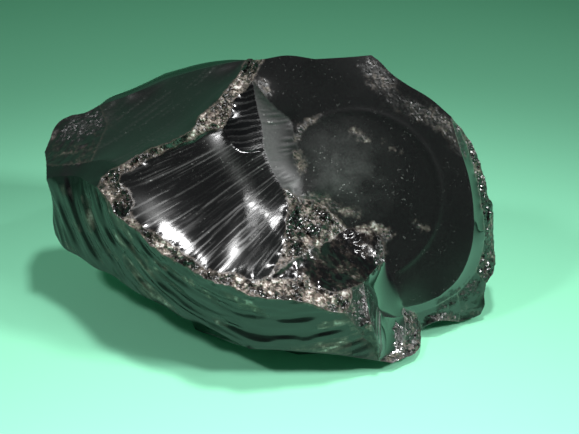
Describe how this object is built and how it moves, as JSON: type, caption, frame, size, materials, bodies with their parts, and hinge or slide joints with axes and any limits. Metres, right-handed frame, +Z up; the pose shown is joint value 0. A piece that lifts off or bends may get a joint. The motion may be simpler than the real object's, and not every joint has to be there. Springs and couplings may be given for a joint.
{
  "type": "gilsonite lump",
  "caption": "Broken lump of black, glassy natural asphalt with conchoidal faces, crumbled ridges and a flat resting facet underneath.",
  "frame": {"origin": "centre of the bounding box in X and Y, on the surface the lump rests on", "axes": "+X along the longest extent, from the pointed end to the rim of the disc; +Z up from the resting facet; -Y towards the hollow and the front wall"},
  "size_m": [0.093, 0.057, 0.048],
  "materials": {
    "gilsonite": "black, glassy conchoidal fracture with dull, crumbled ridges"
  },
  "bodies": {
    "root": {"gilsonite_lump": "gilsonite"}
  },
  "joints": []
}
